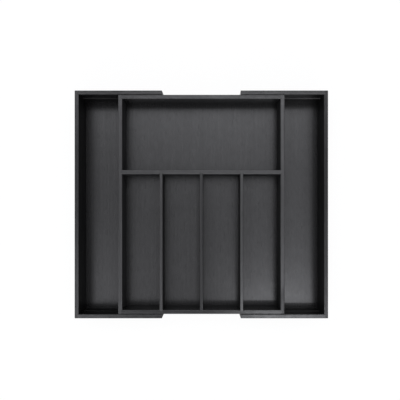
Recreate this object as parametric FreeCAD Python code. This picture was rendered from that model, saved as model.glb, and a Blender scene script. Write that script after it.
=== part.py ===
import FreeCAD, Part
import os

from FreeCAD import Vector

# Extending cutlery tray in black-stained wood
# A centre tray with five compartments hangs between two U-shaped wings that slide out to the left and right.
# X runs to the right, Y to the back and Z up. The origin is on the table, under the middle of the open tray.
# The tray is drawn with both wings pulled right out. Lengths are in millimetres.

# Overall sizes
tray_depth = 445.0  # front to back, over the wings
tray_height = 64.0  # table to rim
centre_width = 325.0  # left to right, over the centre tray's side walls
wing_bay = 77.0  # clear width of a wing's compartment when the wing is pulled out
back_bay = 139.0  # clear depth of the wide compartment at the back

# Boards
wing_wall = 8.0
centre_wall = 8.0
cross_thickness = 8.0
divider_thickness = 6.0
wing_panel = 4.0  # thickness of a wing's floor
centre_panel = 4.0  # thickness of the centre tray's floor
rim_round = 1.0  # radius on the arrises that a hand can reach
divider_names = ("left_divider", "middle_divider", "right_divider")

# Housed joints
corner_housing = 2.5  # depth of the rebate that takes the end of a front or back wall
divider_housing = 2.5  # depth of the dado that takes the end of a divider
panel_grip = 4.0  # how far a floor reaches into its wall
panel_play = 0.3  # room behind a floor's edge for the wood to swell
wing_lip = 3.0  # wood under the floor groove of a wing wall
centre_lip = 4.5  # wood under the floor groove of a centre wall

# Slides
side_gap = 0.5  # between a wing's front or back wall and the centre wall beside it
floor_gap = 1.0  # between a wing's floor and the centre tray above it
push_gap = 0.5  # between an end wall and the centre tray when the wing is pushed in
meet_gap = 0.5  # between the two wings when both are pushed in
ledge_drop = 37.0  # rim to the ledge that a tongue runs on
tongue_setback = 4.5  # from the centre tray's inner corner to the tongue's outer end
tongue_height = 9.4
tongue_bed = 3.0  # how deep a tongue is let into the centre wall
tongue_reach = 3.2  # how far a tongue enters the groove of the wing wall
tongue_play = 0.3  # above a tongue, below it and at its stop
groove_play = 0.8  # between a tongue's edge and the bottom of its groove
groove_stop = 8.0  # solid wood between the groove and the wing's inner end

# Brads in the corner joints, of flat wire with a chisel point
brad_length = 20.0
brad_width = 1.2  # from top to bottom
brad_thickness = 1.0  # across the grain of the board that it enters
brad_point = 2.0  # length of the chisel point
brad_head = 2.0  # width of the head
brad_head_length = 0.8
brad_set = 1.0  # how far a brad is punched below the surface

# Cutting
overrun = 5.0  # how far a cutter runs past the face that it opens

# Places from side to side and from front to back
wing_half_depth = tray_depth / 2
wing_inside = wing_half_depth - wing_wall
centre_half_depth = wing_inside - side_gap
centre_inside_y = centre_half_depth - centre_wall
centre_half_width = centre_width / 2
centre_inside_x = centre_half_width - centre_wall
end_wall_inside = centre_half_width + wing_bay
wing_outside = end_wall_inside + wing_wall
travel = wing_bay - push_gap
wing_tip = travel + meet_gap / 2
cross_back = centre_inside_y - back_bay
cross_front = cross_back - cross_thickness

# Heights
rim = tray_height
wing_floor_top = wing_lip + wing_panel
centre_foot = wing_floor_top + floor_gap
centre_floor_under = centre_foot + centre_lip
centre_floor_top = centre_floor_under + centre_panel
ledge = rim - ledge_drop
tongue_under = ledge + tongue_play
tongue_top = tongue_under + tongue_height
groove_top = tongue_top + tongue_play

# Directions that the faces of a board can have
LEFT, RIGHT = (-1, 0, 0), (1, 0, 0)
FRONT, BACK = (0, -1, 0), (0, 1, 0)
UP = (0, 0, 1)


def block(low, high):
    """Box between two opposite corners, as an offcut or as the sweep of a square cutter."""
    size = high - low
    return Part.makeBox(size.x, size.y, size.z, low)


def facing(face):
    """Direction that a board's flat face looks in."""
    normal = face.normalAt(0, 0)
    return tuple(round(part) for part in normal)


def board(low, high, *exposed):
    """Board between two opposite corners, with a rounded arris wherever two exposed faces meet."""
    blank = block(low, high)
    arrises = []
    for edge in blank.Edges:
        sides = blank.ancestorsOfType(edge, Part.Face)
        if all(facing(side) in exposed for side in sides):
            arrises.append(edge)
    return blank.makeFillet(rim_round, arrises)


def round_ended_bar(x_range, y_range, z_range):
    """Bar along X with half-round ends, as a router leaves a slot and as a tongue is shaped to fit it."""
    start, end = x_range
    front, back = y_range
    under, top = z_range
    radius = (top - under) / 2
    middle = (top + under) / 2
    lower_start = Vector(start + radius, front, under)
    lower_end = Vector(end - radius, front, under)
    upper_start = Vector(start + radius, front, top)
    upper_end = Vector(end - radius, front, top)
    outline = [
        Part.LineSegment(lower_start, lower_end),
        Part.Arc(lower_end, Vector(end, front, middle), upper_end),
        Part.LineSegment(upper_end, upper_start),
        Part.Arc(upper_start, Vector(start, front, middle), lower_start),
    ]
    wire = Part.Wire([segment.toShape() for segment in outline])
    return Part.Face(wire).extrude(Vector(0, back - front, 0))


def to_left(shape):
    """Mirror image on the other side of the tray."""
    return shape.mirror(Vector(0, 0, 0), Vector(*RIGHT))


def to_front(shape):
    """Mirror image at the other end of the tray."""
    return shape.mirror(Vector(0, 0, 0), Vector(*BACK))


def on_both_sides(shape):
    """The shape and its mirror image on the left."""
    return [shape, to_left(shape)]


def at_both_ends(shape):
    """The shape and its mirror image at the front."""
    return [shape, to_front(shape)]


def brad(face_x, y, z):
    """Brad driven through a side wall towards the middle of the tray and punched below the surface."""
    head_x = face_x - brad_set
    neck_x = head_x - brad_head_length
    tip_x = head_x - brad_length
    upper_side = [
        Vector(head_x, y, z + brad_head / 2),
        Vector(neck_x, y, z + brad_head / 2),
        Vector(neck_x, y, z + brad_width / 2),
        Vector(tip_x + brad_point, y, z + brad_width / 2),
    ]
    lower_side = [Vector(point.x, y, 2 * z - point.z) for point in reversed(upper_side)]
    outline = upper_side + [Vector(tip_x, y, z)] + lower_side
    profile = Part.Face(Part.makePolygon(outline + outline[:1]))
    profile.translate(Vector(0, -brad_thickness / 2, 0))
    return profile.extrude(Vector(0, brad_thickness, 0))


def punch_mark(face_x, y, z):
    """Hole that the punch leaves above a brad's head."""
    half_thickness = brad_thickness / 2
    half_head = brad_head / 2
    low = Vector(face_x - brad_set, y - half_thickness, z - half_head)
    high = Vector(face_x + overrun, y + half_thickness, z + half_head)
    return block(low, high)


def corner_places(wall_middle_y, heights):
    """Back and front corner of one side, at each of the given heights."""
    return [(y, z) for y in (wall_middle_y, -wall_middle_y) for z in heights]


# Brads lie midway between the cuts in the walls that they join.
wing_brad_heights = ((wing_floor_top + ledge) / 2, (groove_top + rim) / 2)
centre_brad_heights = ((centre_floor_top + tongue_under) / 2, (tongue_top + rim) / 2)
wing_corners = corner_places(wing_inside + wing_wall / 2, wing_brad_heights)
centre_corners = corner_places(centre_inside_y + centre_wall / 2, centre_brad_heights)
wing_brads = [brad(wing_outside, y, z) for y, z in wing_corners]
centre_right_brads = [brad(centre_half_width, y, z) for y, z in centre_corners]
wing_brad_holes = wing_brads + [punch_mark(wing_outside, y, z) for y, z in wing_corners]
centre_right_holes = centre_right_brads + [punch_mark(centre_half_width, y, z) for y, z in centre_corners]


def divider_places():
    """Middle of each lengthwise divider, spaced so that all the cells are equally wide."""
    count = len(divider_names)
    cell = (2 * centre_inside_x - count * divider_thickness) / (count + 1)
    step = cell + divider_thickness
    first = cell + divider_thickness / 2 - centre_inside_x
    return [first + index * step for index in range(count)]


def divider_dado(x, front, back):
    """Dado for the end of a lengthwise divider, open at the rim."""
    half = divider_thickness / 2
    return block(Vector(x - half, front, centre_floor_top), Vector(x + half, back, rim + overrun))


def right_tongue():
    """Tongue at the back right, half of it let into the centre wall and half out in the wing's groove."""
    start = wing_tip + groove_stop + tongue_play
    end = centre_inside_x - tongue_setback
    depth = (centre_half_depth - tongue_bed, wing_inside + tongue_reach)
    return round_ended_bar((start, end), depth, (tongue_under, tongue_top))


def centre_long_wall():
    """Back wall of the centre tray, which is also the blank for its front wall."""
    half_length = centre_inside_x + corner_housing
    low = Vector(-half_length, centre_inside_y, centre_foot)
    high = Vector(half_length, centre_half_depth, rim)
    wall = board(low, high, UP, FRONT, BACK)
    floor_groove = block(
        Vector(-half_length - overrun, centre_inside_y - overrun, centre_floor_under),
        Vector(half_length + overrun, centre_inside_y + panel_grip + panel_play, centre_floor_top),
    )
    brad_holes = [side for hole in centre_right_holes for side in on_both_sides(hole)]
    return wall.cut([floor_groove] + on_both_sides(right_tongue()) + brad_holes)


def centre_front_wall():
    """Front wall of the centre tray, with a dado for each lengthwise divider."""
    dado_front = -centre_inside_y - divider_housing
    dado_back = -centre_inside_y + overrun
    dados = [divider_dado(x, dado_front, dado_back) for x in divider_places()]
    return to_front(centre_long_wall()).cut(dados)


def centre_side_wall():
    """Right wall of the centre tray, rebated for the long walls and housed for the cross divider."""
    low = Vector(centre_inside_x, -centre_half_depth, centre_foot)
    high = Vector(centre_half_width, centre_half_depth, rim)
    wall = board(low, high, UP, LEFT, RIGHT, FRONT, BACK)
    rebate = block(
        Vector(centre_inside_x - overrun, centre_inside_y, centre_foot - overrun),
        Vector(centre_inside_x + corner_housing, centre_half_depth + overrun, rim + overrun),
    )
    groove_depth = panel_grip + panel_play
    floor_groove = block(
        Vector(centre_inside_x - overrun, -centre_inside_y - groove_depth, centre_floor_under),
        Vector(centre_inside_x + groove_depth, centre_inside_y + groove_depth, centre_floor_top),
    )
    cross_dado = block(
        Vector(centre_inside_x - overrun, cross_front, centre_floor_top),
        Vector(centre_inside_x + divider_housing, cross_back, rim + overrun),
    )
    return wall.cut(at_both_ends(rebate) + [floor_groove, cross_dado] + centre_right_holes)


def centre_floor():
    """Floor of the centre tray, held in the grooves of its four walls."""
    half_width = centre_inside_x + panel_grip
    half_depth = centre_inside_y + panel_grip
    low = Vector(-half_width, -half_depth, centre_floor_under)
    high = Vector(half_width, half_depth, centre_floor_top)
    return block(low, high)


def cross_divider():
    """Board between the wide back compartment and the cutlery cells, standing on the floor."""
    half_length = centre_inside_x + divider_housing
    low = Vector(-half_length, cross_front, centre_floor_top)
    high = Vector(half_length, cross_back, rim)
    dados = [divider_dado(x, cross_front - overrun, cross_front + divider_housing) for x in divider_places()]
    return board(low, high, UP, FRONT, BACK).cut(dados)


def divider(x):
    """Lengthwise divider, housed in the front wall and in the cross divider."""
    half = divider_thickness / 2
    low = Vector(x - half, -centre_inside_y - divider_housing, centre_floor_top)
    high = Vector(x + half, cross_front + divider_housing, rim)
    return board(low, high, UP, LEFT, RIGHT)


def wing_long_wall():
    """Back wall of the right wing, with the blind groove that the centre tray's tongue slides in."""
    housed_end = end_wall_inside + corner_housing
    low = Vector(wing_tip, wing_inside, 0)
    high = Vector(housed_end, wing_half_depth, rim)
    wall = board(low, high, UP, FRONT, BACK, LEFT)
    floor_groove = block(
        Vector(wing_tip - overrun, wing_inside - overrun, wing_lip),
        Vector(housed_end + overrun, wing_inside + panel_grip + panel_play, wing_floor_top),
    )
    slide_groove = round_ended_bar(
        (wing_tip + groove_stop, wing_outside + overrun),
        (wing_inside - overrun, wing_inside + tongue_reach + groove_play),
        (ledge, groove_top),
    )
    return wall.cut([floor_groove, slide_groove] + wing_brad_holes)


def wing_end_wall():
    """Outer wall of the right wing, rebated at both ends for the front and back walls."""
    low = Vector(end_wall_inside, -wing_half_depth, 0)
    high = Vector(wing_outside, wing_half_depth, rim)
    wall = board(low, high, UP, LEFT, RIGHT, FRONT, BACK)
    rebate = block(
        Vector(end_wall_inside - overrun, wing_inside, -overrun),
        Vector(end_wall_inside + corner_housing, wing_half_depth + overrun, rim + overrun),
    )
    groove_depth = panel_grip + panel_play
    floor_groove = block(
        Vector(end_wall_inside - overrun, -wing_inside - groove_depth, wing_lip),
        Vector(end_wall_inside + groove_depth, wing_inside + groove_depth, wing_floor_top),
    )
    return wall.cut(at_both_ends(rebate) + [floor_groove] + wing_brad_holes)


def wing_floor():
    """Floor of the right wing, which runs on under the centre tray with its leading arris rounded."""
    half_depth = wing_inside + panel_grip
    low = Vector(wing_tip, -half_depth, wing_lip)
    high = Vector(end_wall_inside + panel_grip, half_depth, wing_floor_top)
    return board(low, high, UP, LEFT)


def centre_nodes():
    """Named pieces of the centre tray."""
    side_wall = centre_side_wall()
    tongue = right_tongue()
    nodes = {
        "centre_back_wall": centre_long_wall(),
        "centre_front_wall": centre_front_wall(),
        "centre_right_wall": side_wall,
        "centre_left_wall": to_left(side_wall),
        "centre_floor": centre_floor(),
        "cross_divider": cross_divider(),
        "back_right_tongue": tongue,
        "back_left_tongue": to_left(tongue),
        "front_right_tongue": to_front(tongue),
        "front_left_tongue": to_left(to_front(tongue)),
        "centre_brads": Part.Compound([side for each in centre_right_brads for side in on_both_sides(each)]),
    }
    for name, x in zip(divider_names, divider_places()):
        nodes[name] = divider(x)
    return nodes


def wing_nodes():
    """Named pieces of the right wing, without the side in their names."""
    long_wall = wing_long_wall()
    return {
        "wing_end_wall": wing_end_wall(),
        "wing_back_wall": long_wall,
        "wing_front_wall": to_front(long_wall),
        "wing_floor": wing_floor(),
        "wing_brads": Part.Compound(wing_brads),
    }


def all_nodes():
    """Every named piece of the tray."""
    nodes = centre_nodes()
    for name, shape in wing_nodes().items():
        nodes["right_" + name] = shape
        nodes["left_" + name] = to_left(shape)
    return nodes


os.makedirs("parts", exist_ok=True)
for node_name, node_shape in all_nodes().items():
    node_shape.exportStep(os.path.join("parts", node_name + ".step"))
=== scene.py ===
import logging
import math
from dataclasses import dataclass, field
from enum import Enum
from typing import ClassVar

import bmesh
import bpy
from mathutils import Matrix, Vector


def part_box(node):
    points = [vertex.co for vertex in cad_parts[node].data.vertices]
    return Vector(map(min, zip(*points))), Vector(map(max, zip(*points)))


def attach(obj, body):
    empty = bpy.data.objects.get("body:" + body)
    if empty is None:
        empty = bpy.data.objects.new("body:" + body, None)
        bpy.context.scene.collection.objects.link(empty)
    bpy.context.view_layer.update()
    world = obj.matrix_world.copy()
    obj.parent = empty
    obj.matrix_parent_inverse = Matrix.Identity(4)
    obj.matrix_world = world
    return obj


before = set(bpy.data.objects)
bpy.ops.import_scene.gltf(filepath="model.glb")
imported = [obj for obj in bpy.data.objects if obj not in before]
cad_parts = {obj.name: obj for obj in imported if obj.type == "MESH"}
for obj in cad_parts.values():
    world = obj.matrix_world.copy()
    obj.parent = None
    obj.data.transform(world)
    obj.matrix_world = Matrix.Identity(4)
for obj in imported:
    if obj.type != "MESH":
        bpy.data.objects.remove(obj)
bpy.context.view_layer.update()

LOG = logging.getLogger("cutlery_tray")
MILLIMETRE = 0.001
WELD_DISTANCE = 1e-6
GROOVE_LEDGE_HEIGHT = 0.027
COOL_WHITE = (0.98, 0.985, 1.035)
WHITE = (1.0, 1.0, 1.0)
FLOAT = "NodeSocketFloat"
VECTOR = "NodeSocketVector"

Band = tuple[float, float]
Colour = tuple[float, float, float]
Point = tuple[float, float, float]
Socket = bpy.types.NodeSocket


class Lie(Enum):
    """How a board lies: the tray's axis across its grain, along it, and through its thickness."""

    PANEL = ("X", "Y", "Z")
    WALL_SIDE_TO_SIDE = ("Z", "X", "Y")
    WALL_FRONT_TO_BACK = ("Z", "Y", "X")

    @property
    def along(self) -> str:
        """Names the tray's axis along the grain."""
        return self.value[1]


class Side(Enum):
    """The side of the centre tray that a wing slides out to."""

    LEFT = "left"
    RIGHT = "right"


def opaque(colour: Colour) -> tuple[float, float, float, float]:
    """Gives a colour its full alpha."""
    return (*colour, 1.0)


def add_object(name: str, data: bpy.types.ID) -> bpy.types.Object:
    """Puts a new object into the scene.

    Args:
        name: its name.
        data: its mesh, lamp or camera.

    Returns:
        The object.
    """
    made = bpy.data.objects.new(name, data)
    bpy.context.scene.collection.objects.link(made)
    return made


def set_material(piece: bpy.types.Object, material: bpy.types.Material) -> None:
    """Puts a material in every slot of a piece.

    Args:
        piece: the piece.
        material: its new material.
    """
    if not piece.material_slots:
        piece.data.materials.append(material)
    for slot in piece.material_slots:
        slot.material = material


class Graph:
    """A node tree, with short ways to add nodes to it and link them."""

    mix_colours: ClassVar[tuple[int, int]] = (6, 7)
    mix_result: ClassVar[int] = 2

    def __init__(self, tree: bpy.types.NodeTree) -> None:
        """Keeps the tree that nodes go into."""
        self.tree = tree

    def node(self, kind: str, **settings: object) -> bpy.types.Node:
        """Adds a node.

        Args:
            kind: the node's type name.
            settings: properties to set on it.

        Returns:
            The new node.
        """
        made = self.tree.nodes.new(kind)
        for name, value in settings.items():
            setattr(made, name, value)
        return made

    def feed(self, socket: Socket, value: object) -> None:
        """Links a socket to another one, or sets its value.

        Args:
            socket: the input to feed.
            value: an output socket, or a plain value.
        """
        if isinstance(value, bpy.types.NodeSocket):
            self.tree.links.new(value, socket)
        else:
            socket.default_value = value

    def math(self, operation: str, *values: object, clamp: bool = False) -> Socket:
        """Adds a sum of one to three values.

        Args:
            operation: the Math node's operation.
            values: sockets or numbers.
            clamp: whether the result is kept from 0 to 1.

        Returns:
            The result.
        """
        made = self.node("ShaderNodeMath", operation=operation, use_clamp=clamp)
        for socket, value in zip(made.inputs, values):
            self.feed(socket, value)
        return made.outputs[0]

    def vector(self, operation: str, *values: object, result: str = "Vector") -> Socket:
        """Adds a sum of one or two vectors.

        Args:
            operation: the Vector Math node's operation.
            values: vector sockets or points.
            result: which of the node's outputs holds the result.

        Returns:
            The result.
        """
        made = self.node("ShaderNodeVectorMath", operation=operation)
        for socket, value in zip(made.inputs, values):
            self.feed(socket, value)
        return made.outputs[result]

    def split(self, vector: Socket) -> tuple[Socket, Socket, Socket]:
        """Takes a vector apart.

        Args:
            vector: the vector.

        Returns:
            Its three parts.
        """
        made = self.node("ShaderNodeSeparateXYZ")
        self.feed(made.inputs[0], vector)
        return tuple(made.outputs)

    def join(self, *parts: object) -> Socket:
        """Puts a vector together.

        Args:
            parts: its three parts.

        Returns:
            The vector.
        """
        made = self.node("ShaderNodeCombineXYZ")
        for socket, value in zip(made.inputs, parts):
            self.feed(socket, value)
        return made.outputs[0]

    def ramp(
        self, value: object, start: object, end: object, low: float = 0.0, high: float = 1.0
    ) -> Socket:
        """Adds a smooth step.

        Args:
            value: what is mapped.
            start: where the step starts.
            end: where it ends.
            low: the result at the start.
            high: the result at the end.

        Returns:
            The mapped value.
        """
        made = self.node("ShaderNodeMapRange", interpolation_type="SMOOTHSTEP")
        for socket, given in zip(made.inputs, (value, start, end, low, high)):
            self.feed(socket, given)
        return made.outputs[0]

    def mix(self, share: object, first: object, second: object) -> Socket:
        """Mixes two colours.

        Args:
            share: how much of the second one shows.
            first: a colour socket or a colour.
            second: a colour socket or a colour.

        Returns:
            The mixed colour.
        """
        made = self.node("ShaderNodeMix", data_type="RGBA")
        self.feed(made.inputs["Factor"], share)
        for index, value in zip(self.mix_colours, (first, second)):
            self.feed(made.inputs[index], opaque(value) if isinstance(value, tuple) else value)
        return made.outputs[self.mix_result]

    def noise(
        self, place: Socket, per_metre: Point, seed: object, detail: float, roughness: float = 0.5
    ) -> Socket:
        """Adds noise that is drawn out differently along each axis.

        Args:
            place: the position in metres.
            per_metre: how many waves there are in a metre along each axis.
            seed: what sets one board's noise apart from another's.
            detail: how many finer layers are added.
            roughness: how strong those layers are.

        Returns:
            The noise, from 0 to 1.
        """
        made = self.node("ShaderNodeTexNoise", noise_dimensions="4D")
        self.feed(made.inputs["Vector"], self.vector("MULTIPLY", place, per_metre))
        self.feed(made.inputs["W"], seed)
        self.feed(made.inputs["Scale"], 1.0)
        self.feed(made.inputs["Detail"], detail)
        self.feed(made.inputs["Roughness"], roughness)
        return made.outputs[0]

    def emboss(
        self, shader: bpy.types.Node, height: Socket, distance: float, strength: float = 1.0
    ) -> None:
        """Gives a shader's surface relief.

        Args:
            shader: the shader.
            height: the relief.
            distance: how high a relief of 1 stands, in metres.
            strength: how strongly it shows.
        """
        made = self.node("ShaderNodeBump")
        self.feed(made.inputs["Strength"], strength)
        self.feed(made.inputs["Distance"], distance)
        self.feed(made.inputs["Height"], height)
        self.feed(shader.inputs["Normal"], made.outputs["Normal"])


def new_material(name: str) -> tuple[bpy.types.Material, Graph, bpy.types.Node]:
    """Makes a material that has only its shader.

    Args:
        name: the material's name.

    Returns:
        The material, its nodes, and its shader.
    """
    made = bpy.data.materials.new(name)
    made.use_nodes = True
    return made, Graph(made.node_tree), made.node_tree.nodes["Principled BSDF"]


class SharedEffect:
    """A shader node group that is built once and placed in each finish that uses it."""

    title: ClassVar[str] = ""
    takes: ClassVar[dict[str, str]] = {}
    gives: ClassVar[tuple[str, ...]] = ()

    @classmethod
    def fill(cls, graph: Graph, given: dict[str, Socket]) -> dict[str, Socket]:
        """Draws the effect. Each effect has its own.

        Args:
            graph: the group's nodes.
            given: the group's inputs by name.

        Returns:
            The group's outputs by name.
        """
        raise NotImplementedError

    @classmethod
    def tree(cls) -> bpy.types.NodeTree:
        """Builds the group the first time it is asked for.

        Returns:
            The node group.
        """
        kept = bpy.data.node_groups.get(cls.title)
        if kept is not None:
            return kept
        made = bpy.data.node_groups.new(cls.title, "ShaderNodeTree")
        for name, kind in cls.takes.items():
            made.interface.new_socket(name=name, in_out="INPUT", socket_type=kind)
        for name in cls.gives:
            made.interface.new_socket(name=name, in_out="OUTPUT", socket_type=FLOAT)
        graph = Graph(made)
        start = graph.node("NodeGroupInput")
        end = graph.node("NodeGroupOutput")
        results = cls.fill(graph, {name: start.outputs[name] for name in cls.takes})
        for name, socket in results.items():
            graph.feed(end.inputs[name], socket)
        return made

    @classmethod
    def place(cls, graph: Graph, **values: object) -> dict[str, Socket]:
        """Places the group in a finish.

        Args:
            graph: the finish's nodes.
            values: the inputs, named with underscores for spaces.

        Returns:
            The outputs by name.
        """
        made = graph.node("ShaderNodeGroup", node_tree=cls.tree())
        for name, value in values.items():
            graph.feed(made.inputs[name.replace("_", " ").capitalize()], value)
        return {name: made.outputs[name] for name in cls.gives}


class WoodFigure(SharedEffect):
    """Growth rings cut by the board's face, with the streaks and pores that run along the grain."""

    title = "wood_figure"
    takes = {
        "Place": VECTOR,
        "Seed": FLOAT,
        "Ring spacing": FLOAT,
        "Heart across": FLOAT,
        "Heart depth": FLOAT,
        "Taper": FLOAT,
        "Sway": FLOAT,
    }
    gives = ("Late wood", "Streak", "Fleck", "Pore", "Cloud", "Height")
    sway_waves: ClassVar[Point] = (24.0, 3.5, 24.0)
    cloud_waves: ClassVar[Point] = (16.0, 5.0, 16.0)
    streak_waves: ClassVar[Point] = (340.0, 4.0, 340.0)
    fleck_waves: ClassVar[Point] = (420.0, 110.0, 420.0)
    fibre_waves: ClassVar[Point] = (1400.0, 38.0, 1400.0)
    pore_waves: ClassVar[Point] = (1500.0, 75.0, 1500.0)
    late_rise: ClassVar[Band] = (0.40, 0.90)
    late_fall: ClassVar[Band] = (0.93, 1.0)
    early_fall: ClassVar[Band] = (0.05, 0.45)
    pore_band: ClassVar[Band] = (0.60, 0.70)
    pores_in_late: ClassVar[float] = 0.25
    streak_relief: ClassVar[float] = 0.05
    fibre_relief: ClassVar[float] = 0.02
    ring_relief: ClassVar[float] = 0.02
    pore_relief: ClassVar[float] = 0.02

    @classmethod
    def fill(cls, graph: Graph, given: dict[str, Socket]) -> dict[str, Socket]:
        """Draws the figure.

        Args:
            graph: the group's nodes.
            given: the place in metres (across, along, through), and how the log was cut.

        Returns:
            The figure's masks, and its relief in millimetres.
        """
        place, seed = given["Place"], given["Seed"]
        across, along, through = graph.split(place)
        wander = graph.math("SUBTRACT", graph.noise(place, cls.sway_waves, seed, detail=2.0), 0.5)
        wander = graph.math("MULTIPLY", wander, given["Sway"])
        sideways = graph.math("ADD", graph.math("SUBTRACT", across, given["Heart across"]), wander)
        deep = graph.math("MULTIPLY_ADD", along, given["Taper"], given["Heart depth"])
        deep = graph.math("ADD", deep, graph.math("ADD", through, wander))
        squares = graph.math("MULTIPLY_ADD", sideways, sideways, graph.math("MULTIPLY", deep, deep))
        rings = graph.math("DIVIDE", graph.math("SQRT", squares), given["Ring spacing"])
        turn = graph.math("FRACT", rings)
        rise = graph.ramp(turn, *cls.late_rise)
        late = graph.math("MULTIPLY", rise, graph.ramp(turn, *cls.late_fall, low=1.0, high=0.0))
        cloud = graph.noise(place, cls.cloud_waves, seed, detail=2.0)
        streak = graph.noise(place, cls.streak_waves, seed, detail=5.0, roughness=0.75)
        fleck = graph.noise(place, cls.fleck_waves, seed, detail=1.0)
        fibre = graph.noise(place, cls.fibre_waves, seed, detail=1.0)
        speck = graph.ramp(graph.noise(place, cls.pore_waves, seed, detail=1.0), *cls.pore_band)
        early = graph.ramp(turn, *cls.early_fall, low=1.0, high=cls.pores_in_late)
        pore = graph.math("MULTIPLY", speck, early)
        height = graph.math("MULTIPLY", streak, cls.streak_relief)
        height = graph.math("MULTIPLY_ADD", fibre, cls.fibre_relief, height)
        height = graph.math("MULTIPLY_ADD", late, cls.ring_relief, height)
        height = graph.math("MULTIPLY_ADD", pore, -cls.pore_relief, height)
        masks = {"Late wood": late, "Streak": streak, "Fleck": fleck, "Pore": pore, "Cloud": cloud}
        return {**masks, "Height": height}


class RubbedArris(SharedEffect):
    """Where handling has rubbed a board's edges and corners."""

    title = "rubbed_arris"
    takes = {
        "Place": VECTOR,
        "Low corner": VECTOR,
        "High corner": VECTOR,
        "Reach": FLOAT,
        "Seed": FLOAT,
    }
    gives = ("Rub",)
    patch_waves: ClassVar[Point] = (45.0, 45.0, 45.0)
    nick_waves: ClassVar[Point] = (420.0, 420.0, 420.0)
    patch_band: ClassVar[Band] = (0.40, 0.68)
    nick_band: ClassVar[Band] = (0.35, 0.65)

    @classmethod
    def fill(cls, graph: Graph, given: dict[str, Socket]) -> dict[str, Socket]:
        """Measures to the nearest edge, which is the middle one of the distances to three faces.

        Args:
            graph: the group's nodes.
            given: the place and the board's corners in metres, and how far the wear reaches.

        Returns:
            The wear, from 0 to 1.
        """
        place, seed = given["Place"], given["Seed"]
        from_low = graph.split(graph.vector("SUBTRACT", place, given["Low corner"]))
        from_high = graph.split(graph.vector("SUBTRACT", given["High corner"], place))
        first, second, third = (graph.math("MINIMUM", *pair) for pair in zip(from_low, from_high))
        nearer = graph.math("MINIMUM", first, second)
        farther = graph.math("MAXIMUM", first, second)
        edge = graph.math("MAXIMUM", nearer, graph.math("MINIMUM", farther, third))
        near = graph.ramp(edge, 0.0, given["Reach"], low=1.0, high=0.0)
        patch = graph.ramp(graph.noise(place, cls.patch_waves, seed, detail=2.0), *cls.patch_band)
        nick = graph.ramp(graph.noise(place, cls.nick_waves, seed, detail=2.0), *cls.nick_band)
        return {"Rub": graph.math("MULTIPLY", near, graph.math("MULTIPLY", patch, nick))}


class EndGrain(SharedEffect):
    """The ends of the fibres, which drink more stain and stay duller."""

    title = "end_grain"
    takes = {"Facing": FLOAT, "Late wood": FLOAT, "Pore": FLOAT}
    gives = ("End", "Thirst")
    end_band: ClassVar[Band] = (0.72, 0.95)

    @classmethod
    def fill(cls, graph: Graph, given: dict[str, Socket]) -> dict[str, Socket]:
        """Finds the ends from the way that the surface faces.

        Args:
            graph: the group's nodes.
            given: how far the surface faces along the grain, and the figure's masks.

        Returns:
            The mask of the ends, and how much stain they hold.
        """
        end = graph.ramp(graph.math("ABSOLUTE", given["Facing"]), *cls.end_band)
        early = graph.math("SUBTRACT", 1.0, given["Late wood"])
        open_wood = graph.math("MAXIMUM", early, given["Pore"])
        return {"End": end, "Thirst": graph.math("MULTIPLY", end, open_wood)}


class LacquerFilm(SharedEffect):
    """The film of lacquer, sprayed from above and all round, so that inner faces get less of it."""

    title = "lacquer_film"
    takes = {
        "Facing": VECTOR,
        "Place": VECTOR,
        "Seed": FLOAT,
        "Inside": FLOAT,
        "Outside": FLOAT,
        "Pore": FLOAT,
        "Streak": FLOAT,
        "Fleck": FLOAT,
    }
    gives = ("Film",)
    drift_waves: ClassVar[Point] = (60.0, 60.0, 60.0)
    upward_band: ClassVar[Band] = (0.15, 0.85)
    outward_band: ClassVar[Band] = (0.1, 0.4)
    outward_share: ClassVar[float] = 0.8
    noise_band: ClassVar[Band] = (0.3, 0.7)
    least_in_drift: ClassVar[float] = 0.88
    least_in_fleck: ClassVar[float] = 0.78
    pore_loss: ClassVar[float] = 0.6
    streak_range: ClassVar[Band] = (0.71, 0.97)

    @classmethod
    def fill(cls, graph: Graph, given: dict[str, Socket]) -> dict[str, Socket]:
        """Builds the film.

        Args:
            graph: the group's nodes.
            given: the way the surface faces, the place in metres, how full the film is on inner faces
                and elsewhere, and the figure's masks.

        Returns:
            The film's weight.
        """
        place = given["Place"]
        upward = graph.ramp(graph.split(given["Facing"])[2], *cls.upward_band)
        away = graph.vector("NORMALIZE", graph.vector("MULTIPLY", place, (1.0, 1.0, 0.0)))
        outward = graph.vector("DOT_PRODUCT", away, given["Facing"], result="Value")
        outward = graph.ramp(outward, *cls.outward_band, high=cls.outward_share)
        reached = graph.math("MAXIMUM", upward, outward)
        gain = graph.math("SUBTRACT", given["Outside"], given["Inside"])
        film = graph.math("MULTIPLY_ADD", reached, gain, given["Inside"])
        drift = graph.noise(place, cls.drift_waves, given["Seed"], detail=2.0)
        drift = graph.ramp(drift, *cls.noise_band, low=cls.least_in_drift)
        fleck = graph.ramp(given["Fleck"], *cls.noise_band, low=cls.least_in_fleck)
        film = graph.math("MULTIPLY", film, graph.math("MULTIPLY", drift, fleck))
        shut = graph.math("MULTIPLY_ADD", given["Pore"], -cls.pore_loss, 1.0)
        film = graph.math("MULTIPLY", film, shut)
        streak = graph.ramp(given["Streak"], *cls.noise_band, *cls.streak_range)
        return {"Film": graph.math("MULTIPLY", film, streak, clamp=True)}


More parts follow.
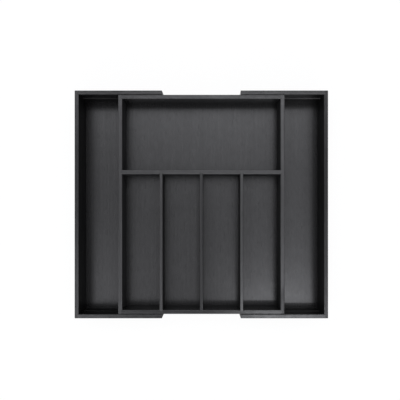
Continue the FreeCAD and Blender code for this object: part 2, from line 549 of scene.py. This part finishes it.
class PaintedShadeMargin(SharedEffect):
    """A strip along a board's edge where the lacquer is thinned as painted shade: at a floor's back
    edge it darkens the foot of the back wall, and at a rim's front end it dims the lamp's highlight.
    """

    title = "painted_shade_margin"
    takes = {
        "Apart": FLOAT,
        "Place": VECTOR,
        "Reach": FLOAT,
        "Seed": FLOAT,
    }
    gives = ("Kept",)
    waver_waves: ClassVar[Point] = (35.0, 35.0, 35.0)
    waver: ClassVar[float] = 0.004
    shade_full_share: ClassVar[float] = 0.55

    @classmethod
    def fill(cls, graph: Graph, given: dict[str, Socket]) -> dict[str, Socket]:
        """Draws the strip with a slightly wavering border.

        Args:
            graph: the group's nodes.
            given: how far away the edge is, the place, and how far the strip reaches, in metres.

        Returns:
            How much of the film is there, from 0 to 1.
        """
        sway = graph.noise(given["Place"], cls.waver_waves, given["Seed"], detail=2.0)
        sway = graph.math("SUBTRACT", sway, 0.5)
        apart = graph.math("MULTIPLY_ADD", sway, cls.waver, given["Apart"])
        start = graph.math("MULTIPLY", given["Reach"], cls.shade_full_share)
        return {"Kept": graph.ramp(apart, start, given["Reach"])}


class SettledDust(SharedEffect):
    """A trace of dust on what faces up."""

    title = "settled_dust"
    takes = {"Upward": FLOAT, "Place": VECTOR, "Seed": FLOAT}
    gives = ("Dust",)
    drift_waves: ClassVar[Point] = (14.0, 14.0, 14.0)
    mote_waves: ClassVar[Point] = (900.0, 900.0, 900.0)
    upward_band: ClassVar[Band] = (0.80, 1.0)
    drift_band: ClassVar[Band] = (0.35, 0.75)
    mote_band: ClassVar[Band] = (0.52, 0.72)

    @classmethod
    def fill(cls, graph: Graph, given: dict[str, Socket]) -> dict[str, Socket]:
        """Lays the dust.

        Args:
            graph: the group's nodes.
            given: how far the surface faces up, and the place in metres.

        Returns:
            The dust, from 0 to 1.
        """
        place, seed = given["Place"], given["Seed"]
        level = graph.ramp(given["Upward"], *cls.upward_band)
        drift = graph.ramp(graph.noise(place, cls.drift_waves, seed, detail=3.0), *cls.drift_band)
        mote = graph.ramp(graph.noise(place, cls.mote_waves, seed, detail=0.0), *cls.mote_band)
        return {"Dust": graph.math("MULTIPLY", level, graph.math("MULTIPLY", drift, mote))}


class LedgeWearAndHighlight(SharedEffect):
    """Where a tongue has rubbed the ledge of its groove, lightened further as a painted highlight on
    the ledge.
    """

    title = "ledge_wear_and_highlight"
    takes = {
        "Upward": FLOAT,
        "Ledge": FLOAT,
        "Place": VECTOR,
        "Seed": FLOAT,
    }
    gives = ("Wear and highlight",)
    patch_waves: ClassVar[Point] = (30.0, 160.0, 160.0)
    ledge_band: ClassVar[Band] = (0.0008, 0.0012)
    upward_band: ClassVar[Band] = (0.5, 0.9)
    patch_band: ClassVar[Band] = (0.25, 0.6)
    least_wear: ClassVar[float] = 0.6

    @classmethod
    def fill(cls, graph: Graph, given: dict[str, Socket]) -> dict[str, Socket]:
        """Finds the ledge by its height and by facing up.

        Args:
            graph: the group's nodes.
            given: how far the surface faces up, the ledge's height and the place in metres.

        Returns:
            The wear and painted highlight, from 0 to 1.
        """
        height = graph.split(given["Place"])[2]
        off = graph.math("ABSOLUTE", graph.math("SUBTRACT", height, given["Ledge"]))
        near = graph.ramp(off, *cls.ledge_band, low=1.0, high=0.0)
        level = graph.math("MULTIPLY", near, graph.ramp(given["Upward"], *cls.upward_band))
        patch = graph.noise(given["Place"], cls.patch_waves, given["Seed"], detail=2.0)
        patch = graph.ramp(patch, *cls.patch_band, low=cls.least_wear)
        return {"Wear and highlight": graph.math("MULTIPLY", level, patch)}


@dataclass(frozen=True)
class Cut:
    """How one board was cut from its log, and how it took the finish.

    Attributes:
        lie: how the board lies in the tray.
        seed: what sets its figure apart.
        heart_across: the middle of its arched figure, from the board's own middle, in metres.
        heart_depth: how far below its face the heart of the log is, in metres.
        taper: how fast the heart rises along the board.
        ring_spacing: one year's growth, in metres.
        stain: how light the stain came out on it; on the walls these values also darken boards as
            painted shade, matching how the light falls on each.
        film: its share of the lacquer on its rim, level faces and outer faces.
        inner_film: the lacquer at the top of its inner faces, before the figure thins it.
        ledge_wear_and_highlight: how much the ledge of its groove is lightened, partly for wear and
            partly as a painted highlight.
        painted_shade_margin: how far from its back edge its film is thinned as painted shade at the
            foot of the back wall, in metres.
        shaded_front_end: how far from its front end its film is thinned as painted shade over the
            lamp's highlight, in metres.
    """

    lie: Lie
    seed: float
    heart_across: float = 0.0
    heart_depth: float = 0.030
    taper: float = 0.05
    ring_spacing: float = 0.0055
    stain: float = 1.0
    film: float = 0.75
    inner_film: float = 0.0
    ledge_wear_and_highlight: float = 0.0
    painted_shade_margin: float = 0.0
    shaded_front_end: float = 0.0


@dataclass(frozen=True)
class StainedWood:
    """Black stain under a satin film.

    Attributes:
        dark: the stain in the open wood.
        light: the stain over the late wood.
        rubbed: what shows where an edge is rubbed.
        worn_ledge_and_highlight: the pale colour on a groove's ledge, partly worn stain and partly a
            painted highlight.
        dusty: the colour of dust.
        gloss: the roughness between the pores.
        dull: how much rougher the streaks and pores are.
        end_dull: how much rougher the end grain is.
        specular: the bare stain's own reflection.
        film_full: the lacquer's full weight on rims, level faces and outer faces.
        film_roughness: the lacquer's roughness.
        film_index: its refractive index.
        film_at_foot: how much of the inner faces' lacquer is left at their foot.
        film_left_in_front_shade: how much of the lacquer is left at a front end that is thinned as
            painted shade over the lamp's highlight.
        relief: how strongly the figure stands out.
        rub_reach: how far from an edge the wear goes, in metres.
        rub_share: how much of the stain the wear takes off.
        dust_share: how much the dust covers.
        ring_sway: how far the growth rings wander, in metres.
        streak_tone: how much the streaks lighten the stain.
        late_tone: how much the late wood lightens it.
        cloud_tone: how much the broad clouds lighten it.
        pore_tone: how much the pores darken it.
        thirst_tone: how much thirsty end grain darkens it.
    """

    dark: Colour = (0.0055, 0.0055, 0.0057)
    light: Colour = (0.0085, 0.0084, 0.0085)
    rubbed: Colour = (0.052, 0.049, 0.046)
    # A pale colour for the groove ledge: partly worn stain, partly a painted highlight of the ledge.
    worn_ledge_and_highlight: Colour = (0.165, 0.163, 0.164)
    dusty: Colour = (0.11, 0.108, 0.105)
    gloss: float = 0.24
    dull: float = 0.05
    end_dull: float = 0.25
    specular: float = 0.30
    film_full: float = 0.74
    film_roughness: float = 0.26
    film_index: float = 1.72
    film_at_foot: float = 0.5
    # The film left where painted shade dims the lamp's highlight at a rim's front end.
    film_left_in_front_shade: float = 0.36
    relief: float = 0.25
    rub_reach: float = 0.0016
    rub_share: float = 0.35
    dust_share: float = 0.05
    ring_sway: float = 0.006
    streak_tone: float = 0.55
    late_tone: float = 0.30
    cloud_tone: float = 0.35
    pore_tone: float = 0.45
    thirst_tone: float = 0.40

    def material(self, name: str, cut: Cut, low: Vector, high: Vector) -> bpy.types.Material:
        """Makes one board's material.

        Args:
            name: the material's name.
            cut: how the board was cut.
            low: the board's lowest corner.
            high: its highest corner.

        Returns:
            The material.
        """
        made, graph, shader = new_material(name)
        where = graph.node("ShaderNodeTexCoord").outputs["Object"]
        normal = graph.node("ShaderNodeNewGeometry").outputs["Normal"]
        facing = dict(zip("XYZ", graph.split(normal)))
        from_middle = graph.vector("SUBTRACT", where, tuple((low + high) / 2))
        parts = dict(zip("XYZ", graph.split(from_middle)))
        figure = WoodFigure.place(
            graph, place=graph.join(*(parts[axis] for axis in cut.lie.value)), seed=cut.seed,
            ring_spacing=cut.ring_spacing, heart_across=cut.heart_across,
            heart_depth=cut.heart_depth, taper=cut.taper, sway=self.ring_sway,
        )
        ends = EndGrain.place(
            graph, facing=facing[cut.lie.along], late_wood=figure["Late wood"], pore=figure["Pore"]
        )
        rub = RubbedArris.place(
            graph, place=where, low_corner=tuple(low), high_corner=tuple(high),
            reach=self.rub_reach, seed=cut.seed,
        )["Rub"]
        dust = SettledDust.place(graph, upward=facing["Z"], place=where, seed=cut.seed)["Dust"]
        colour = self.stain(graph, cut, figure, ends["Thirst"])
        colour = graph.mix(graph.math("MULTIPLY", rub, self.rub_share), colour, self.rubbed)
        colour = graph.mix(graph.math("MULTIPLY", dust, self.dust_share), colour, self.dusty)
        # Lightens the groove's ledge: partly wear from the tongue, partly a painted highlight. The
        # right wing's back wall gets the most.
        if cut.ledge_wear_and_highlight:
            wear = LedgeWearAndHighlight.place(
                graph, upward=facing["Z"], ledge=GROOVE_LEDGE_HEIGHT, place=where, seed=cut.seed
            )["Wear and highlight"]
            colour = graph.mix(graph.math("MULTIPLY", wear, cut.ledge_wear_and_highlight), colour, self.worn_ledge_and_highlight)
        graph.feed(shader.inputs["Base Color"], colour)
        self.surface(graph, shader, figure, ends["End"])
        inside = graph.ramp(
            graph.split(where)[2], low.z, high.z, self.film_at_foot * cut.inner_film, cut.inner_film
        )
        film = LacquerFilm.place(
            graph, facing=normal, place=where, seed=cut.seed, inside=inside,
            outside=self.film_full * cut.film,
            pore=figure["Pore"], streak=figure["Streak"], fleck=figure["Fleck"],
        )["Film"]
        film = self.thinned(graph, cut, film, where, low.y, high.y)
        graph.feed(shader.inputs["Coat Weight"], film)
        shader.inputs["Coat Roughness"].default_value = self.film_roughness
        shader.inputs["Coat IOR"].default_value = self.film_index
        return made

    def stain(self, graph: Graph, cut: Cut, figure: dict[str, Socket], thirst: Socket) -> Socket:
        """Colours the board.

        Args:
            graph: the material's nodes.
            cut: how the board took the stain.
            figure: the wood's figure.
            thirst: how much more stain the end grain holds.

        Returns:
            The board's colour.
        """
        tone = graph.math("MULTIPLY", figure["Late wood"], self.late_tone)
        tone = graph.math("MULTIPLY_ADD", figure["Streak"], self.streak_tone, tone)
        tone = graph.math("MULTIPLY_ADD", figure["Cloud"], self.cloud_tone, tone)
        tone = graph.math("SUBTRACT", tone, graph.math("MULTIPLY", figure["Pore"], self.pore_tone))
        thirst = graph.math("MULTIPLY", thirst, self.thirst_tone)
        tone = graph.math("SUBTRACT", tone, thirst, clamp=True)
        # cut.stain scales each board's colour; on the walls it darkens them as painted shade, matching
        # how the light falls on each.
        dark = tuple(cut.stain * part for part in self.dark)
        light = tuple(cut.stain * part for part in self.light)
        return graph.mix(tone, dark, light)

    def surface(
        self, graph: Graph, shader: bpy.types.Node, figure: dict[str, Socket], end: Socket
    ) -> None:
        """Gives the board its sheen and relief.

        Args:
            graph: the material's nodes.
            shader: its shader.
            figure: the wood's figure.
            end: where the end grain is.
        """
        rough = graph.math("MULTIPLY_ADD", figure["Streak"], self.dull, self.gloss)
        rough = graph.math("MULTIPLY_ADD", figure["Pore"], self.dull, rough)
        rough = graph.math("MULTIPLY_ADD", end, self.end_dull, rough, clamp=True)
        graph.feed(shader.inputs["Roughness"], rough)
        shader.inputs["Specular IOR Level"].default_value = self.specular
        graph.emboss(shader, figure["Height"], MILLIMETRE, self.relief)

    def thinned(
        self, graph: Graph, cut: Cut, film: Socket, where: Socket, front: float, back: float
    ) -> Socket:
        """Thins the film as painted shade: along a floor's back edge, at the foot of its back wall, and
        at a rim's front end, over the lamp's highlight.

        Args:
            graph: the material's nodes.
            cut: which edges of the board are thinned as painted shade.
            film: the film's weight.
            where: the place in metres.
            front: where the board's front end is.
            back: where its back end is.

        Returns:
            The film's weight after that.
        """
        along = graph.split(where)[1]
        # Painted shade: less film along the floor's back edge, at the foot of the back wall.
        if cut.painted_shade_margin:
            apart = graph.math("SUBTRACT", back, along)
            kept = PaintedShadeMargin.place(
                graph, apart=apart, place=where, reach=cut.painted_shade_margin, seed=cut.seed
            )["Kept"]
            film = graph.math("MULTIPLY", film, kept)
        # Painted shade: less film at the front end, dimming the lamp's highlight there.
        if cut.shaded_front_end:
            apart = graph.math("SUBTRACT", along, front)
            kept = PaintedShadeMargin.place(
                graph, apart=apart, place=where, reach=cut.shaded_front_end, seed=cut.seed
            )["Kept"]
            kept = graph.math("MULTIPLY_ADD", kept, 1.0 - self.film_left_in_front_shade, self.film_left_in_front_shade)
            film = graph.math("MULTIPLY", film, kept)
        return film


@dataclass(frozen=True)
class BrightSteel:
    """Drawn steel wire.

    Attributes:
        bright: the steel between its draw marks.
        worn: the steel in them.
        roughness: its roughness between the marks.
        mark_roughness: how much rougher the marks are.
    """

    bright: Colour = (0.47, 0.47, 0.48)
    worn: Colour = (0.30, 0.295, 0.29)
    roughness: float = 0.22
    mark_roughness: float = 0.2
    draw_waves: ClassVar[Point] = (300.0, 9000.0, 9000.0)

    def material(self, name: str) -> bpy.types.Material:
        """Makes the steel.

        Args:
            name: the material's name.

        Returns:
            The material.
        """
        made, graph, shader = new_material(name)
        where = graph.node("ShaderNodeTexCoord").outputs["Object"]
        mark = graph.noise(where, self.draw_waves, seed=1.0, detail=2.0)
        graph.feed(shader.inputs["Base Color"], graph.mix(mark, self.bright, self.worn))
        rough = graph.math("MULTIPLY_ADD", mark, self.mark_roughness, self.roughness)
        graph.feed(shader.inputs["Roughness"], rough)
        shader.inputs["Metallic"].default_value = 1.0
        return made


@dataclass(frozen=True)
class BlackStopping:
    """Black wood filler, a little duller than the stain round it.

    Attributes:
        dark: its darker grains.
        light: its lighter grains.
        roughness: the darker grains' roughness.
        grit_roughness: how much rougher the lighter grains are.
        grit_height: how far the grains stand out, in metres.
    """

    dark: Colour = (0.010, 0.010, 0.010)
    light: Colour = (0.026, 0.025, 0.024)
    roughness: float = 0.50
    grit_roughness: float = 0.25
    grit_height: float = 0.05 * MILLIMETRE
    grit_waves: ClassVar[Point] = (3500.0, 3500.0, 3500.0)

    def material(self, name: str) -> bpy.types.Material:
        """Makes the filler.

        Args:
            name: the material's name.

        Returns:
            The material.
        """
        made, graph, shader = new_material(name)
        where = graph.node("ShaderNodeTexCoord").outputs["Object"]
        grit = graph.noise(where, self.grit_waves, seed=2.0, detail=3.0, roughness=0.6)
        graph.feed(shader.inputs["Base Color"], graph.mix(grit, self.dark, self.light))
        rough = graph.math("MULTIPLY_ADD", grit, self.grit_roughness, self.roughness)
        graph.feed(shader.inputs["Roughness"], rough)
        graph.emboss(shader, grit, self.grit_height)
        return made


@dataclass
class StoppedBrads:
    """The brads of one body, and the filler that hides their heads in its outer faces.

    Attributes:
        body: the body that they hold together.
        brads: the node of its brads.
        outer_faces: where the faces they are driven through are, from left to right, in metres.
        sink: how far the filler has shrunk below the face.
        dish: how much further its middle has sunk.
        dish_rings: how deep and how wide the dish is at each ring, as shares.
        corner_share: its corners' rounding, of its shorter side.
        corner_steps: how many steps a rounded corner has.
    """

    body: str
    brads: str
    outer_faces: tuple[float, ...]
    sink: float = 0.04 * MILLIMETRE
    dish: float = 0.10 * MILLIMETRE
    dish_rings: tuple[Band, ...] = ((0.45, 0.62), (1.0, 0.25))
    corner_share: float = 0.22
    corner_steps: int = 4

    def heads(self) -> list[tuple[Vector, Vector]]:
        """Finds each brad in the node's mesh.

        Returns:
            The lowest and highest corner of each.
        """
        shape = bmesh.new()
        shape.from_mesh(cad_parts[self.brads].data)
        bmesh.ops.remove_doubles(shape, verts=shape.verts[:], dist=WELD_DISTANCE)
        left, found = set(shape.verts), []
        while left:
            heap, island = [left.pop()], []
            while heap:
                point = heap.pop()
                island.append(point.co.copy())
                for edge in point.link_edges:
                    other = edge.other_vert(point)
                    if other in left:
                        left.remove(other)
                        heap.append(other)
            low = Vector(min(point[axis] for point in island) for axis in range(3))
            high = Vector(max(point[axis] for point in island) for axis in range(3))
            found.append((low, high))
        shape.free()
        return sorted(found, key=lambda corners: tuple(corners[0]))

    def outline(self, width: float, height: float) -> list[tuple[float, float]]:
        """Draws the filler's outline.

        Args:
            width: its size along Y.
            height: its size along Z.

        Returns:
            The points round it.
        """
        radius = self.corner_share * min(width, height)
        points = []
        for turn in range(4):
            y = math.copysign(width / 2 - radius, 1 if turn in (0, 3) else -1)
            z = math.copysign(height / 2 - radius, 1 if turn in (0, 1) else -1)
            for step in range(self.corner_steps + 1):
                angle = math.pi / 2 * (turn + step / self.corner_steps)
                points.append((y + radius * math.cos(angle), z + radius * math.sin(angle)))
        return points

    def add_plug(self, shape: bmesh.types.BMesh, low: Vector, high: Vector) -> None:
        """Adds the filler over one brad: a closed plug from the brad's head to just under the face.

        Args:
            shape: the mesh that it goes into.
            low: the brad's lowest corner.
            high: its highest corner.
        """
        outer = min(self.outer_faces, key=lambda x: min(abs(x - low.x), abs(x - high.x)))
        outward = math.copysign(1.0, outer)
        head = high.x if outward > 0 else low.x
        middle = (low + high) / 2
        points = self.outline(high.y - low.y, high.z - low.z)
        face = outer - outward * self.sink
        levels = [(head, 1.0), (face, 1.0)]
        levels += [(face - outward * depth * self.dish, width) for depth, width in self.dish_rings]
        rings = []
        for x, share in levels:
            ring = [(x, middle.y + share * y, middle.z + share * z) for y, z in points]
            rings.append([shape.verts.new(corner) for corner in ring])
        for first, second in zip(rings, rings[1:]):
            for index in range(len(points)):
                after = (index + 1) % len(points)
                shape.faces.new((first[index], first[after], second[after], second[index]))
        shape.faces.new(rings[0])
        shape.faces.new(rings[-1])

    def build(self, finish: BlackStopping) -> bpy.types.Object:
        """Makes the filler of the whole body as one piece.

        Args:
            finish: its finish.

        Returns:
            The piece.
        """
        shape = bmesh.new()
        for low, high in self.heads():
            self.add_plug(shape, low, high)
        bmesh.ops.recalc_face_normals(shape, faces=shape.faces[:])
        name = f"{self.body}_stopping"
        mesh = bpy.data.meshes.new(name)
        shape.to_mesh(mesh)
        shape.free()
        mesh.materials.append(finish.material(name))
        piece = add_object(name, mesh)
        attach(piece, self.body)
        return piece


PANEL_FINISH = StainedWood()
WALL_FINISH = StainedWood(
    dark=(0.0125, 0.0125, 0.0129), light=(0.0345, 0.0343, 0.0346), gloss=0.60, dull=0.16,
    specular=0.02, film_full=0.97, film_roughness=0.21, relief=0.3,
)
TONGUE_FINISH = StainedWood(
    gloss=0.34, dull=0.12, film_full=0.3, relief=0.5, rub_share=0.6, rub_reach=0.004
)


@dataclass
class SubAssembly:
    """A rigid group of boards that moves as one.

    Attributes:
        body: its body's name.
        cuts: each board's cut, by node.
        finishes: each board's finish, by node.
    """

    body: str
    cuts: dict[str, Cut] = field(default_factory=dict)
    finishes: dict[str, StainedWood] = field(default_factory=dict)

    def settle(self, finish: StainedWood, cuts: dict[str, Cut]) -> None:
        """Notes the cuts of the boards that share a finish."""
        self.cuts.update(cuts)
        self.finishes.update(dict.fromkeys(cuts, finish))

    def dress(self) -> None:
        """Gives every board its own material."""
        for node, cut in self.cuts.items():
            low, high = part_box(node)
            material = self.finishes[node].material(node, cut, low, high)
            set_material(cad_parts[node], material)
            LOG.info("%s: dressed", node)

    def dress_brads(self, node: str) -> None:
        """Gives the brads their steel."""
        set_material(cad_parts[node], BrightSteel().material(node))
        LOG.info("%s: dressed", node)

    def stop_brads(self, node: str, outer_faces: tuple[float, ...]) -> None:
        """Fills the holes over the brads in the outer faces that they are driven through."""
        piece = StoppedBrads(self.body, node, outer_faces).build(BlackStopping())
        LOG.info("%s: %d faces", piece.name, len(piece.data.polygons))


@dataclass
class CentreTray(SubAssembly):
    """The centre tray: four walls, a floor, the dividers and the tongues that its wings slide on.

    Attributes:
        arch_across: where the floor's arched figure is, from the tray's middle, in metres.
        arch_depth: how deep the heart of the floor's log is, in metres.
        brads: the node of its brads.
    """

    body: str = "centre_tray"
    arch_across: float = 0.118
    arch_depth: float = 0.030
    brads: str = "centre_brads"

    def plan(self) -> None:
        """Settles every board's cut and finish."""
        along, across = Lie.WALL_SIDE_TO_SIDE, Lie.WALL_FRONT_TO_BACK
        # The back and front walls' stain values darken them as painted shade, matching how the light
        # falls on each.
        self.settle(WALL_FINISH, {
            "centre_back_wall": Cut(along, 3.1, taper=0.02, stain=0.45, film=0.90, inner_film=1.25),
            "centre_front_wall": Cut(along, 4.1, taper=0.02, stain=0.45, film=0.74, inner_film=0.40),
            "centre_left_wall": Cut(across, 5.7, taper=0.02, film=0.85),
            # The thinner film at the right wall's front end is painted shade over the lamp's highlight.
            "centre_right_wall": Cut(across, 6.7, taper=0.02, film=0.93, shaded_front_end=0.065),
            "cross_divider": Cut(along, 8.2, taper=0.03, film=1.0),
            "left_divider": Cut(across, 9.4, taper=0.02, film=1.0),
            "middle_divider": Cut(across, 10.4, taper=0.02, film=0.48),
            "right_divider": Cut(across, 11.4, taper=0.02, film=1.0),
        })
        self.settle(TONGUE_FINISH, {
            "back_left_tongue": Cut(along, 21.3),
            "back_right_tongue": Cut(along, 22.3),
            "front_left_tongue": Cut(along, 23.3),
            "front_right_tongue": Cut(along, 24.3),
        })
        # The thinner film along the floor's back margin is painted shade at the foot of the back wall.
        floor = Cut(
            Lie.PANEL, 13.6, heart_across=self.arch_across, heart_depth=self.arch_depth, taper=0.16,
            ring_spacing=0.0062, film=0.705, painted_shade_margin=0.0155,
        )
        self.settle(PANEL_FINISH, {"centre_floor": floor})

    def build(self) -> None:
        """Builds what the solids lack and dresses the rest."""
        self.plan()
        self.dress()
        self.dress_brads(self.brads)
        faces = (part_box("centre_left_wall")[0].x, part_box("centre_right_wall")[1].x)
        self.stop_brads(self.brads, faces)


@dataclass
class Wing(SubAssembly):
    """One wing: three walls and a floor, which slide out from under the centre tray.

    Attributes:
        side: the side that it slides out to.
        arch_across: where its floor's arched figure is, from the floor's middle, in metres.
        ring_spacing: one year's growth in its floor, in metres.
    """

    body: str = ""
    side: Side = Side.LEFT
    arch_across: float = 0.19
    ring_spacing: float = 0.0058

    def __post_init__(self) -> None:
        """Names the body after the side."""
        self.body = f"{self.side.value}_wing"

    def plan(self) -> None:
        """Settles every board's cut and finish."""
        along, across = Lie.WALL_SIDE_TO_SIDE, Lie.WALL_FRONT_TO_BACK
        # The walls' stain values darken them as painted shade, matching how the light falls on each
        # wing.
        if self.side is Side.LEFT:
            end = Cut(across, 31.5, taper=0.02, stain=0.4, film=0.76, inner_film=0.16)
            back = Cut(along, 33.2, taper=0.03, stain=0.3, film=0.78, inner_film=0.36, ledge_wear_and_highlight=0.2)
            front = Cut(along, 34.8, taper=0.03, stain=0.3, film=0.87, inner_film=0.13, ledge_wear_and_highlight=0.05)
            floor_seed, floor_film, painted_shade_margin = 36.6, 0.70, 0.028
        else:
            end = Cut(across, 47.9, taper=0.02, stain=0.45, film=0.53, inner_film=0.23)
            back = Cut(along, 49.6, taper=0.03, stain=0.4, film=0.83, inner_film=1.4, ledge_wear_and_highlight=0.65)
            front = Cut(along, 51.2, taper=0.03, stain=0.4, film=0.77, inner_film=0.33, ledge_wear_and_highlight=0.1)
            floor_seed, floor_film, painted_shade_margin = 53.0, 0.735, 0.0245
        # The thinner film along the floor's back margin is painted shade at the foot of the back wall.
        floor = Cut(
            Lie.PANEL, floor_seed, heart_across=self.arch_across, taper=0.02,
            ring_spacing=self.ring_spacing, film=floor_film, painted_shade_margin=painted_shade_margin,
        )
        # These values lighten the walls' groove ledges, partly as wear and partly as a painted
        # highlight.
        self.settle(WALL_FINISH, {
            f"{self.body}_end_wall": end,
            f"{self.body}_back_wall": back,
            f"{self.body}_front_wall": front,
        })
        self.settle(PANEL_FINISH, {f"{self.body}_floor": floor})

    def build(self) -> None:
        """Builds what the solids lack and dresses the rest."""
        self.plan()
        self.dress()
        brads = f"{self.body}_brads"
        self.dress_brads(brads)
        low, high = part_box(f"{self.body}_end_wall")
        self.stop_brads(brads, (low.x if self.side is Side.LEFT else high.x,))


@dataclass(frozen=True)
class StripLamp:
    """A narrow lamp that looks straight down.

    Attributes:
        name: its name.
        place: where its middle is, in metres.
        width: its size from side to side.
        depth: its size from front to back.
        brightness: how bright its face looks, where 1 is white.
    """

    name: str
    place: Point
    width: float
    depth: float
    brightness: float
    white_power: ClassVar[float] = 4.0

    def build(self) -> None:
        """Hangs the lamp."""
        lamp = bpy.data.lights.new(self.name, "AREA")
        lamp.shape = "RECTANGLE"
        lamp.size, lamp.size_y = self.width, self.depth
        lamp.energy = self.white_power * self.width * self.depth * self.brightness
        lamp.color = COOL_WHITE
        add_object(self.name, lamp).location = self.place


@dataclass(frozen=True)
class Glow:
    """A soft patch of light on the dome, where a lamp bounces off it.

    Attributes:
        towards: the way to its middle, seen from the tray.
        brightness: how much brighter its middle is than the dome, where 1 is white.
        spread: how far it reaches, as a share of the dome's radius.
    """

    towards: Point
    brightness: float
    spread: float = 0.13

    def shine(self, graph: Graph, way: Socket) -> Socket:
        """Draws the patch, which fades like a bell curve.

        Args:
            graph: the dome's nodes.
            way: the way that the dome is looked at.

        Returns:
            The patch's light.
        """
        middle = tuple(Vector(self.towards).normalized())
        apart = graph.vector("DISTANCE", way, middle, result="Value")
        reach = graph.math("DIVIDE", apart, self.spread)
        fade = graph.math("MULTIPLY", graph.math("MULTIPLY", reach, reach), -0.5)
        return graph.math("MULTIPLY", graph.math("EXPONENT", fade), self.brightness)


@dataclass
class Studio:
    """A white table under a dim dome with soft glows, a strip lamp, and a camera that looks down.

    Attributes:
        camera_place: where the camera is, in metres.
        lens: its focal length, in millimetres.
        sensor: its sensor's width, in millimetres.
        shift: how far its picture is moved, in picture widths.
        table_half: half the table's width, in metres.
        table_colour: the table's own colour.
        shadow_share: how much of the tray's shadow the table shows.
        zenith: how bright the dome is overhead.
        horizon: how bright it is low down.
        dome_band: the heights that it dims between, as shares of its radius.
        glows: the soft patches of light on it, from the back to the front.
        lamp: the strip lamp.
    """

    camera_place: Point = (0.0130, -0.0168, 0.994)
    lens: float = 42.89
    sensor: float = 36.0
    shift: tuple[float, float] = (-0.020, 0.0325)
    table_half: float = 30.0
    table_colour: Colour = (0.95, 0.95, 0.95)
    shadow_share: float = 0.06
    zenith: float = 0.14
    horizon: float = 0.45
    dome_band: Band = (0.35, 0.85)
    glows: tuple[Glow, ...] = (
        Glow((-0.5, 0.5, 1.0), 6.0),
        Glow((0.5, 0.5, 1.0), 6.6),
        Glow((0.0, 0.5, 1.0), 2.8),
        Glow((0.0, 0.25, 1.0), 1.6),
        Glow((0.14, 0.18, 1.0), 0.5, 0.06),
        Glow((0.2, -0.03, 1.0), 0.35, 0.12),
        Glow((-0.5, -0.25, 1.0), 3.2),
        Glow((-0.25, -0.25, 1.0), 1.0),
        Glow((0.25, -0.25, 1.0), 2.1),
        Glow((0.5, -0.25, 1.0), 1.3),
        Glow((0.0, -1.0, 0.6), 2.3, 0.3),
    )
    lamp: StripLamp = StripLamp("front_right_lamp", (0.375, -0.52, 1.5), 0.40, 0.05, 12.0)

    def build_table(self) -> None:
        """Lays the table, which looks white with the tray's shadow on it."""
        half = self.table_half
        corners = [(-half, -half, 0), (half, -half, 0), (half, half, 0), (-half, half, 0)]
        mesh = bpy.data.meshes.new("table")
        mesh.from_pydata(corners, [], [(0, 1, 2, 3)])
        add_object("table", mesh)
        material = bpy.data.materials.new("table_white")
        material.use_nodes = True
        material.node_tree.nodes.clear()
        graph = Graph(material.node_tree)
        rays = graph.node("ShaderNodeLightPath").outputs
        seen = graph.math("MAXIMUM", rays["Is Camera Ray"], rays["Is Glossy Ray"])
        seen = graph.math("MAXIMUM", seen, rays["Is Transmission Ray"])
        card = graph.node("ShaderNodeBsdfDiffuse")
        card.inputs["Color"].default_value = opaque(self.table_colour)
        white = graph.node("ShaderNodeEmission")
        blend = graph.node("ShaderNodeMixShader")
        graph.feed(blend.inputs[0], graph.math("MULTIPLY", seen, 1.0 - self.shadow_share))
        graph.feed(blend.inputs[1], card.outputs[0])
        graph.feed(blend.inputs[2], white.outputs[0])
        graph.feed(graph.node("ShaderNodeOutputMaterial").inputs["Surface"], blend.outputs[0])
        mesh.materials.append(material)

    def build_dome(self) -> None:
        """Lights the room with the dome and its glows. Looked at, the dome is plain white."""
        world = bpy.data.worlds.new("white_dome")
        world.use_nodes = True
        world.node_tree.nodes.clear()
        graph = Graph(world.node_tree)
        way = graph.node("ShaderNodeTexCoord").outputs["Generated"]
        light = graph.ramp(graph.split(way)[2], *self.dome_band, self.horizon, self.zenith)
        for glow in self.glows:
            light = graph.math("ADD", light, glow.shine(graph, way))
        seen = graph.node("ShaderNodeLightPath").outputs["Is Camera Ray"]
        sky = graph.node("ShaderNodeBackground")
        graph.feed(sky.inputs["Strength"], graph.math("MAXIMUM", light, seen))
        graph.feed(sky.inputs["Color"], graph.mix(seen, COOL_WHITE, WHITE))
        graph.feed(graph.node("ShaderNodeOutputWorld").inputs["Surface"], sky.outputs[0])
        bpy.context.scene.world = world

    def build_camera(self) -> None:
        """Hangs the camera over the tray, looking straight down."""
        lens = bpy.data.cameras.new("camera")
        lens.sensor_fit = "HORIZONTAL"
        lens.sensor_width = self.sensor
        lens.lens = self.lens
        lens.shift_x, lens.shift_y = self.shift
        camera = add_object("camera", lens)
        camera.location = self.camera_place
        bpy.context.scene.camera = camera

    def build(self) -> None:
        """Sets up the table, the light and the camera."""
        bpy.context.scene.view_settings.view_transform = "Standard"
        self.build_camera()
        self.build_table()
        self.build_dome()
        self.lamp.build()
        LOG.info("%s: hung", self.lamp.name)


def main() -> None:
    """Builds the tray's looks and the studio round it."""
    logging.basicConfig(level=logging.INFO, format="%(name)s %(message)s")
    CentreTray().build()
    for side in Side:
        Wing(side=side).build()
    Studio().build()


if __name__ == "__main__":
    main()
